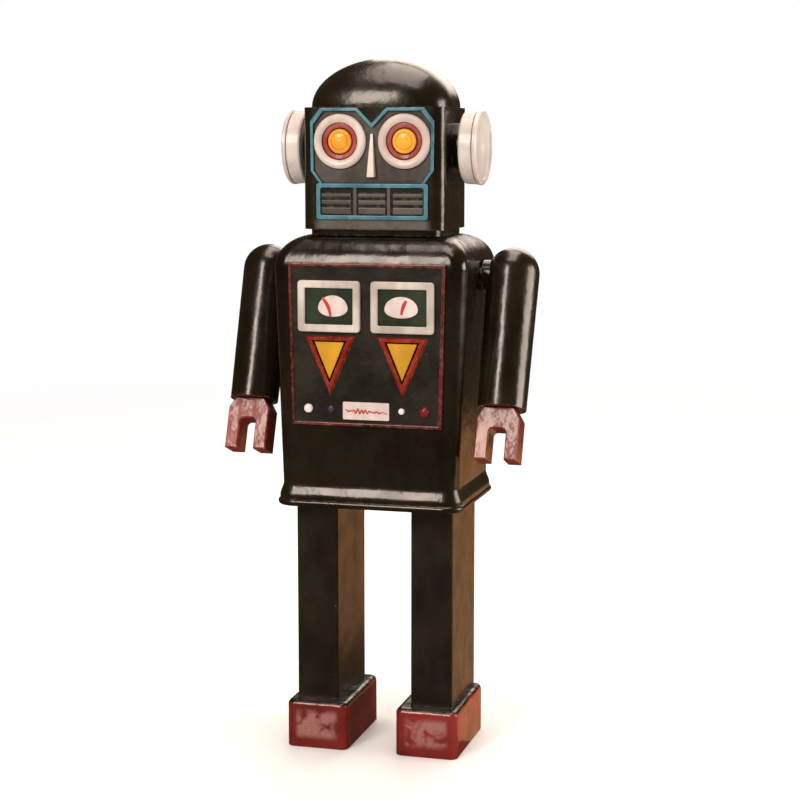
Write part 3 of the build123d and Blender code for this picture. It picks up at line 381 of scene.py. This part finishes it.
def jewel_material():
    """Violet on the robot's right, pearl white on its left: one node holds both studs."""
    shader = Shader("PanelJewels")
    side = shader.spread(shader.axes()["X"], -1 * MM, 1 * MM)
    violet = shader.mix(shader.noise(600), (0.035, 0.012, 0.03), (0.09, 0.045, 0.085))
    pearl = shader.mix(shader.noise(600, offset=2.0), (0.72, 0.66, 0.6), (0.86, 0.83, 0.78))
    shader.finish(shader.mix(side, violet, pearl),
                  shader.spread(shader.noise(300), 0.3, 0.7, 0.2, 0.4),
                  shader.bump(shader.noise(500), 0.1 * MM))
    shader.set(Coat_Weight=0.5)
    return shader.material


def bulb_material():
    """Clear glass with a little warmth."""
    shader = Shader("BulbGlass")
    shader.finish(shader.mix(shader.noise(300), (0.9, 0.86, 0.75), (0.98, 0.96, 0.9)),
                  shader.spread(shader.noise(200), 0.3, 0.7, 0.04, 0.12), None)
    shader.set(Transmission_Weight=0.9, IOR=1.45)
    return shader.material


mask_satin = enamel("MaskSatin", (0.035, 0.029, 0.023), (0.085, 0.074, 0.062), (0.15, 0.13, 0.11),
                    rough=(0.36, 0.5), coat=0.15, wear=0.3, waves=0.0003, streaks=0.4, crevice_shade=0.8, seed=21.4)


def louvre_shade(shader, sheen_grey):
    """Grille: the bars are grey, and the gaps behind them are painted black as shade."""
    deep = shader.spread(shader.axes()["Y"], grille_low.y + 0.15 * MM, grille_high.y - 0.25 * MM)
    return shader.mix(deep, sheen_grey, GAP_SHADE_BLACK)


louvre_paint = enamel("LouvrePaint", (0.05, 0.043, 0.036), (0.1, 0.088, 0.075), (0.17, 0.15, 0.13),
                      rough=(0.38, 0.5), coat=0.15, wear=0.5, streaks=0.3, seed=22.6, overlay=louvre_shade)
own_paint = {"face_plate": mask_satin, "mouth_grille": louvre_paint}
looks["jewels"] = jewel_material()
looks["bulb_glass"] = bulb_material()

slot_of = {part["node"]: part["material_slot"] for part in frame["record"]["subparts"]}


def smooth_by_angle(piece):
    """Smooth shading, with sharp edges kept crisp."""
    piece.data.shade_smooth()
    piece.data.set_sharp_from_angle(angle=math.radians(32))


for name, node in nodes.items():
    node.data.materials.clear()
    node.data.materials.append(own_paint.get(name, looks[slot_of[name]]))


# ---- pieces ---------------------------------------------------------------------------
def finish_piece(piece, slot):
    """Paint a piece from its slot and let it ride on the torso."""
    piece.data.materials.clear()
    piece.data.materials.append(looks[slot])
    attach(piece, "torso")


def mesh_piece(name, build):
    """An object from a function that fills a bmesh."""
    mesh = bpy.data.meshes.new(name)
    work = bmesh.new()
    build(work)
    bmesh.ops.recalc_face_normals(work, faces=work.faces)
    work.to_mesh(mesh)
    work.free()
    piece = bpy.data.objects.new(name, mesh)
    bpy.context.scene.collection.objects.link(piece)
    return piece


def raised_patch(work, outline, back_y, depth, crown):
    """A closed pad facing the front: its outline in X and Z, a side wall and a crowned face."""
    count = len(outline)
    middle = Vector((sum(x for x, z in outline) / count, 0, sum(z for x, z in outline) / count))
    rings = []
    for share, out in ((1.0, 0.0), (1.0, depth * 0.6), (0.93, depth), (0.6, depth + crown * 0.7)):
        ring = []
        for x, z in outline:
            px = middle.x + (x - middle.x) * share
            pz = middle.z + (z - middle.z) * share
            ring.append(work.verts.new((px, back_y - out, pz)))
        rings.append(ring)
    for lower, upper in zip(rings, rings[1:]):
        for i in range(count):
            work.faces.new((lower[i], lower[(i + 1) % count], upper[(i + 1) % count], upper[i]))
    top = work.verts.new((middle.x, back_y - depth - crown, middle.z))
    for i in range(count):
        work.faces.new((rings[-1][i], rings[-1][(i + 1) % count], top))
    work.faces.new(reversed(rings[0]))


def gauge_scale(side, centre_x, half_w):
    """The white half-oval painted scale on a dial."""
    low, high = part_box("gauge_dials")
    dial_z = (low.z + high.z) / 2
    outline = []
    for step in range(SCALE_POINTS):
        turn = 2 * math.pi * step / SCALE_POINTS
        z = math.sin(turn)
        droop = SCALE_DROOP if z < 0 else 1.0
        outline.append((centre_x + half_w * math.cos(turn), dial_z - SCALE_DROP + SCALE_HALF_H * z * droop))
    piece = mesh_piece("gauge_scale_" + side,
                       lambda work: raised_patch(work, outline, low.y, PAINT_DEPTH, PAINT_CROWN))
    smooth_by_angle(piece)
    finish_piece(piece, "label_white")


def needle_strokes():
    """Both needles as thick brush strokes of red paint, fat at the top and thin at the foot."""
    dial_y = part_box("gauge_dials")[0].y

    def stroke(work, top, foot, bulge):
        """From its top to its foot, in X and Z millimetres, bowed sideways by the bulge."""
        along = foot - top
        aside = Vector((along.y, -along.x)).normalized()
        left, right = [], []
        for step in range(STROKE_STEPS + 1):
            t = step / STROKE_STEPS
            half = 0.25 + 0.62 * math.sin(math.pi * min(1.0, 0.12 + t * 0.75)) * (1 - 0.45 * t)
            middle = top + along * t + aside * (bulge * math.sin(math.pi * t))
            left.append((middle + aside * half) * MM)
            right.append((middle - aside * half) * MM)
        rim = [(p.x, p.y) for p in left + right[::-1]]
        raised_patch(work, rim, dial_y - STROKE_SINK, STROKE_DEPTH, PAINT_CROWN)

    def build(work):
        stroke(work, top=Vector((-17.7, 186.0)), foot=Vector((-14.4, 178.6)), bulge=-0.7)
        stroke(work, top=Vector((16.5, 185.6)), foot=Vector((14.5, 179.9)), bulge=0.3)
    piece = mesh_piece("needle_strokes", build)
    smooth_by_angle(piece)
    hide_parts("gauge_needles")
    finish_piece(piece, "needle_red")


def label_trace():
    """A generic wavy line across the label, as a thin raised brush stroke."""
    low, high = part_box("label_plate")
    width = high.x - low.x
    middle_z = (low.z + high.z) / 2
    curve = bpy.data.curves.new("label_trace", "CURVE")
    curve.dimensions = "3D"
    curve.bevel_depth = TRACE_R
    curve.bevel_resolution = 3
    spline = curve.splines.new("NURBS")
    spline.points.add(TRACE_POINTS - 1)
    for i, point in enumerate(spline.points):
        t = i / (TRACE_POINTS - 1)
        x = low.x + width * (0.06 + 0.9 * t)
        swell = math.exp(-((t - 0.36) / 0.16) ** 2) + 0.25
        wave = math.sin(i * 2.1) * 1.25 * swell + math.sin(i * 1.3 + 1) * 0.3
        point.co = (x, low.y - 0.02 * MM, middle_z + wave * MM - 0.5 * MM * t, 1)
        point.radius = 1.0 if t < 0.85 else 0.6
    spline.use_endpoint_u = True
    spline.order_u = 3
    holder = bpy.data.objects.new("label_trace_curve", curve)
    bpy.context.scene.collection.objects.link(holder)
    mesh = bpy.data.meshes.new_from_object(holder)
    bpy.data.objects.remove(holder)
    piece = bpy.data.objects.new("label_trace", mesh)
    bpy.context.scene.collection.objects.link(piece)
    finish_piece(piece, "needle_red")


gauge_scale("right", centre_x=-13.5 * MM, half_w=6.1 * MM)
gauge_scale("left", centre_x=14.4 * MM, half_w=6.8 * MM)
needle_strokes()
label_trace()


# ---- stage, light and camera ----------------------------------------------------------
def floor():
    """A pale round floor that fades into the white surroundings at its rim."""
    def build(work):
        turns = [2 * math.pi * i / FLOOR_SIDES for i in range(FLOOR_SIDES)]
        work.faces.new([work.verts.new((FLOOR_R * math.cos(a), FLOOR_R * math.sin(a), 0)) for a in turns])
    piece = mesh_piece("floor", build)
    shader = Shader("PaleFloor")
    reach = shader.add("ShaderNodeVectorMath", operation="LENGTH")
    shader.link(shader.place, reach.inputs[0])
    fade = shader.spread(reach.outputs["Value"], FADE_START, FADE_END)
    shader.link(fade, shader.surface.inputs["Emission Strength"])
    shader.finish(shader.mix(fade, (0.9, 0.895, 0.89), (0, 0, 0)),
                  shader.spread(shader.noise(12, 3), 0.3, 0.7, 0.6, 0.75), None)
    shader.set(Specular_IOR_Level=0.05, Emission_Color=(1, 1, 1, 1))
    piece.data.materials.append(shader.material)
    piece.visible_glossy = False


def warm_card():
    """A brown table out of view that only reflections pick up, low on the robot's left side."""
    def build(work):
        (near_x, far_x), (front_y, back_y) = CARD_X, CARD_Y
        corners = ((near_x, front_y), (far_x, front_y), (far_x, back_y), (near_x, back_y))
        work.faces.new([work.verts.new((x, y, CARD_Z)) for x, y in corners])
    piece = mesh_piece("warm_card", build)
    shader = Shader("WarmCard")
    shader.link(shader.mix(shader.noise(14, 3, stretch=(1, 0.2, 1)), (0.4, 0.155, 0.045), (0.62, 0.28, 0.1)),
                shader.surface.inputs["Emission Color"])
    shader.set(Base_Color=(0, 0, 0, 1), Emission_Strength=1.0)
    piece.data.materials.append(shader.material)
    piece.visible_camera = False
    piece.visible_diffuse = False
    piece.visible_transmission = False
    piece.visible_shadow = False


def area_light(name, place, target, size, power):
    """A soft rectangular lamp, not seen by the camera itself."""
    light = bpy.data.lights.new(name, "AREA")
    light.shape = "RECTANGLE"
    light.size, light.size_y = size
    light.energy = power
    light.color = WARM_WHITE
    lamp = bpy.data.objects.new(name, light)
    bpy.context.scene.collection.objects.link(lamp)
    lamp.location = place
    lamp.visible_camera = False
    lamp.rotation_euler = (Vector(target) - Vector(place)).to_track_quat("-Z", "Y").to_euler()


def world_light():
    """White behind the object, soft even light for surfaces, dim surroundings in reflections."""
    world = bpy.data.worlds.new("Studio")
    bpy.context.scene.world = world
    world.use_nodes = True
    tree = world.node_tree
    path = tree.nodes.new("ShaderNodeLightPath")

    def background(colour, strength):
        node = tree.nodes.new("ShaderNodeBackground")
        node.inputs["Color"].default_value = (*colour, 1)
        node.inputs["Strength"].default_value = strength
        return node.outputs["Background"]

    def choose(ray, no, yes):
        node = tree.nodes.new("ShaderNodeMixShader")
        tree.links.new(path.outputs[ray], node.inputs["Fac"])
        tree.links.new(no, node.inputs[1])
        tree.links.new(yes, node.inputs[2])
        return node.outputs["Shader"]

    soft = choose("Is Glossy Ray", background((1.0, 0.96, 0.93), 0.62), background((0.9, 0.66, 0.42), 0.06))
    seen = choose("Is Camera Ray", soft, background((1, 1, 1), 1.0))
    tree.links.new(seen, tree.nodes["World Output"].inputs["Surface"])


def camera():
    """A little above and to the robot's left, with a short telephoto lens."""
    lens = bpy.data.cameras.new("PhotoCamera")
    lens.lens = CAMERA_LENS
    lens.sensor_width = 36
    lens.clip_start = 0.01
    view = bpy.data.objects.new("PhotoCamera", lens)
    bpy.context.scene.collection.objects.link(view)
    view.location = CAMERA_PLACE
    view.rotation_euler = (CAMERA_TARGET - CAMERA_PLACE).to_track_quat("-Z", "Y").to_euler()
    bpy.context.scene.camera = view


floor()
warm_card()
for name, settings in LIGHTS.items():
    area_light(name, **settings)
world_light()
camera()
bpy.context.scene.view_settings.view_transform = "Standard"
